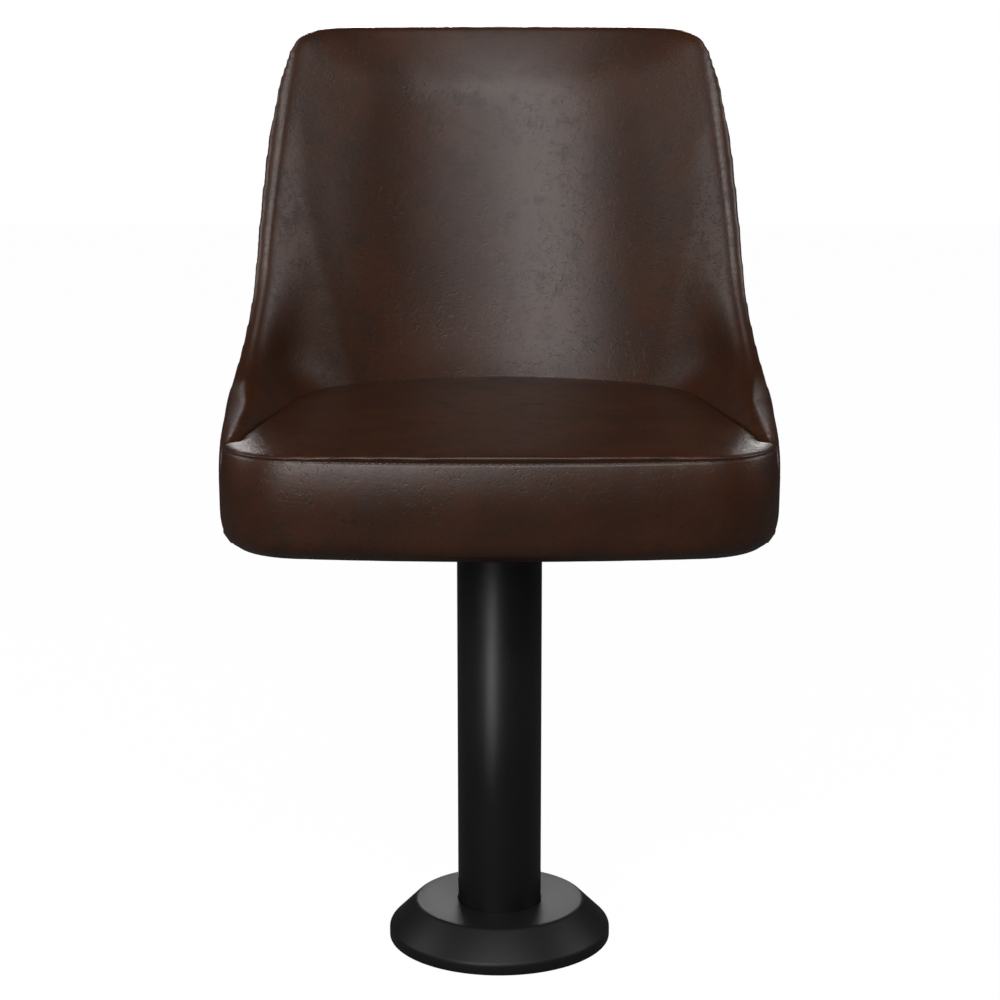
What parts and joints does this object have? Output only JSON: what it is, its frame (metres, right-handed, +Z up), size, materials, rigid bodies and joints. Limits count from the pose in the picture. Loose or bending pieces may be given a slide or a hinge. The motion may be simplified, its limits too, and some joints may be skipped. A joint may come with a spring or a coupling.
{
  "type": "swivel chair",
  "caption": "Upholstered bucket seat that turns on a bolt-down steel column with a round base cover.",
  "frame": {"origin": "centre of the column on the floor, at the underside of the floor disc", "axes": "+Z up along the column, -Y the way the sitter faces, +X to the right in the picture"},
  "size_m": [0.48, 0.5216, 0.818],
  "materials": {
    "powder_coat": "black satin powder coat",
    "cover_coat": "matte black powder coat",
    "machined_steel": "turned, greased",
    "zinc_steel": "zinc plated",
    "bronze": "turned, greased",
    "bearing_steel": "polished, greased",
    "plywood": "raw plywood",
    "foam": "cut polyurethane foam",
    "vinyl": "mottled dark brown leather-look vinyl, low sheen",
    "black_cloth": "spun-bonded cloth"
  },
  "bodies": {
    "pedestal": {"floor_flange": "powder_coat", "column_tube": "powder_coat", "column_weld": "powder_coat", "bearing_housing": "machined_steel", "lower_bush": "bronze", "upper_bush": "bronze", "lower_race": "bearing_steel"},
    "cage": {"ball_cage": "bronze", "bearing_balls": "bearing_steel"},
    "cover": {"base_cover": "cover_coat"},
    "seat": {"upper_race": "bearing_steel", "swivel_spindle": "machined_steel", "spindle_weld": "machined_steel", "spindle_washer": "zinc_steel", "spindle_nut": "zinc_steel", "dust_ring": "powder_coat", "mounting_plate": "powder_coat", "plate_bolts": "zinc_steel", "plate_washers": "zinc_steel", "tee_nuts": "zinc_steel", "seat_board": "plywood", "seat_foam": "foam", "seat_band_cover": "vinyl", "seat_top_cover": "vinyl", "dust_cloth": "black_cloth", "cloth_staples": "zinc_steel", "back_screws": "zinc_steel", "back_shell": "plywood", "back_foam": "foam", "back_inner_cover": "vinyl", "back_outer_cover": "vinyl", "back_edge_roll": "vinyl"}
  },
  "joints": [
    {"name": "seat_swivel", "type": "hinge", "parent": "pedestal", "child": "seat", "pos_m": [0, 0, 0.387], "axis": [0, 0, 1], "continuous": true},
    {"name": "cage_turn", "type": "hinge", "parent": "pedestal", "child": "cage", "pos_m": [0, 0, 0.387], "axis": [0, 0, 1], "continuous": true},
    {"name": "cover_lift", "type": "slide", "parent": "pedestal", "child": "cover", "axis": [0, 0, 1], "range_m": [0, 0.33]}
  ],
  "couplings": [
    {"joint": "cage_turn", "follows": "seat_swivel", "ratio": 0.5}
  ]
}
